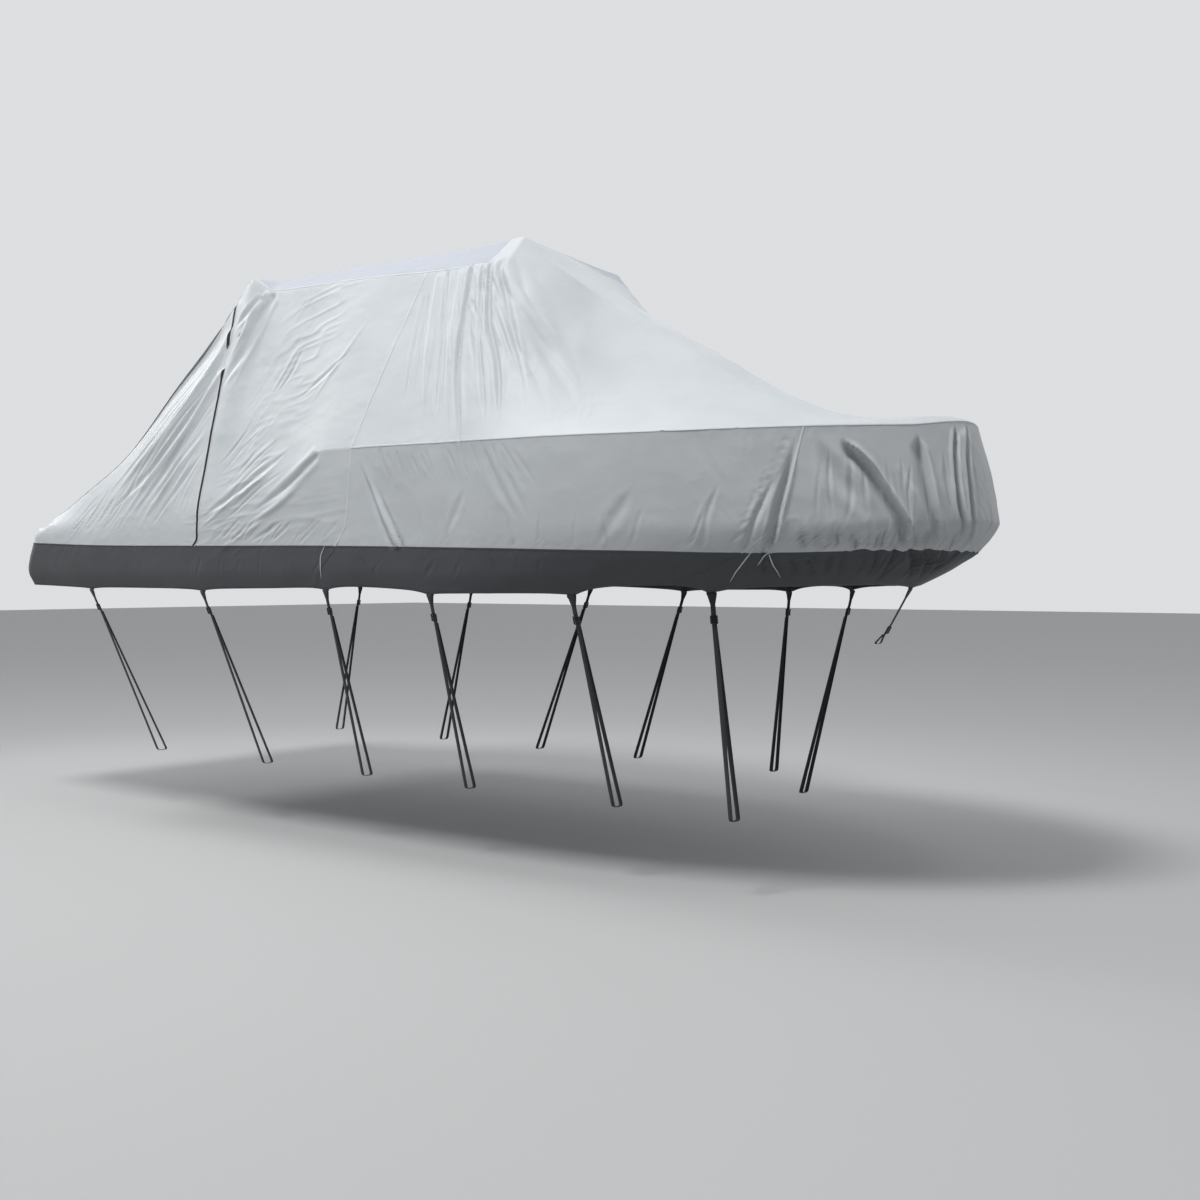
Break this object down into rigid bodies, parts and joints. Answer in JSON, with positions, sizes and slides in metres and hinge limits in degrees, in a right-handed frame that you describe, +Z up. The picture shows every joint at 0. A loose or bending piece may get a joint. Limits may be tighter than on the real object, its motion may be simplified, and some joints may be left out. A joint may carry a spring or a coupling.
{
  "type": "boat cover",
  "caption": "Fitted boat cover: a hollow sewn shell with a raised roof, long front slope, dark hem band and tie-down strap loops.",
  "frame": {"origin": "the place under the roof where the cover is held up", "axes": "+X towards the bow, +Y to port, +Z up"},
  "size_m": [6.6923, 2.5747, 3.2197],
  "materials": {
    "grey_cloth": "matt woven polyester with a soft sheen",
    "charcoal_cloth": "matt woven polyester",
    "webbing": "woven webbing",
    "zip_tape": "zip tape and teeth",
    "buckle_plastic": "moulded, fine grain"
  },
  "bodies": {
    "root": {"band_bow": "charcoal_cloth", "band_port_aft": "charcoal_cloth", "band_port_fore": "charcoal_cloth", "band_starboard_aft": "charcoal_cloth", "band_starboard_fore": "charcoal_cloth", "band_stern": "charcoal_cloth", "bow_skirt": "grey_cloth", "buckle_bow": "buckle_plastic", "buckle_port_1": "buckle_plastic", "buckle_port_2": "buckle_plastic", "buckle_port_3": "buckle_plastic", "buckle_port_4": "buckle_plastic", "buckle_port_5": "buckle_plastic", "buckle_port_6": "buckle_plastic", "buckle_starboard_1": "buckle_plastic", "buckle_starboard_2": "buckle_plastic", "buckle_starboard_3": "buckle_plastic", "buckle_starboard_4": "buckle_plastic", "buckle_starboard_5": "buckle_plastic", "buckle_starboard_6": "buckle_plastic", "front_panel_port": "grey_cloth", "front_panel_starboard": "grey_cloth", "rear_panel": "grey_cloth", "rear_side_panel": "grey_cloth", "roof_panel": "grey_cloth", "side_panel_port": "grey_cloth", "side_panel_starboard": "grey_cloth", "skirt_port": "grey_cloth", "skirt_starboard": "grey_cloth", "strap_bow": "webbing", "strap_port_1": "webbing", "strap_port_2": "webbing", "strap_port_3": "webbing", "strap_port_4": "webbing", "strap_port_5": "webbing", "strap_port_6": "webbing", "strap_starboard_1": "webbing", "strap_starboard_2": "webbing", "strap_starboard_3": "webbing", "strap_starboard_4": "webbing", "strap_starboard_5": "webbing", "strap_starboard_6": "webbing", "zip_lower": "zip_tape", "zip_upper": "zip_tape"}
  },
  "joints": []
}
